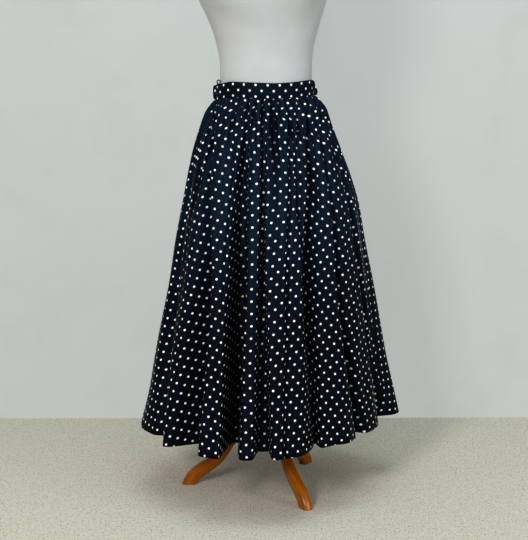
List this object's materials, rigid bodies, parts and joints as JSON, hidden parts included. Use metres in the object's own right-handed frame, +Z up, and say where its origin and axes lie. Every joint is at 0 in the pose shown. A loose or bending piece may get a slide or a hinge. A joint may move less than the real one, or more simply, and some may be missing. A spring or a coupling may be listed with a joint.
{
  "type": "maxi skirt on a dress form stand",
  "caption": "Long gathered flared skirt with a waistband and belt loops, hanging on a limbless dress form on a pole with a curved wooden tripod base.",
  "frame": {"origin": "on the floor under the middle of the whole piece, 10 mm to the picture's right of the stand's pole", "axes": "+Z up, the front of the skirt faces -Y, the picture's right is +X"},
  "size_m": [0.6713, 0.6422, 1.5693],
  "materials": {
    "navy_dotted_cotton": "dark navy plain weave with small white dots",
    "black_ribbon": "narrow satin ribbon",
    "navy_button": "polished",
    "white_jersey": "smooth white cover",
    "honey_varnished_wood": "varnished, honey brown",
    "brushed_steel": "brushed"
  },
  "bodies": {
    "root": {"skirt_front": "navy_dotted_cotton", "skirt_back": "navy_dotted_cotton", "waistband": "navy_dotted_cotton", "belt_loop_left": "navy_dotted_cotton", "belt_loop_right": "navy_dotted_cotton", "hanger_loop": "black_ribbon", "back_button": "navy_button", "form_body": "white_jersey", "neck_cap": "honey_varnished_wood", "pole": "brushed_steel", "hub": "honey_varnished_wood", "leg_left": "honey_varnished_wood", "leg_front": "honey_varnished_wood", "leg_back": "honey_varnished_wood"}
  },
  "joints": []
}
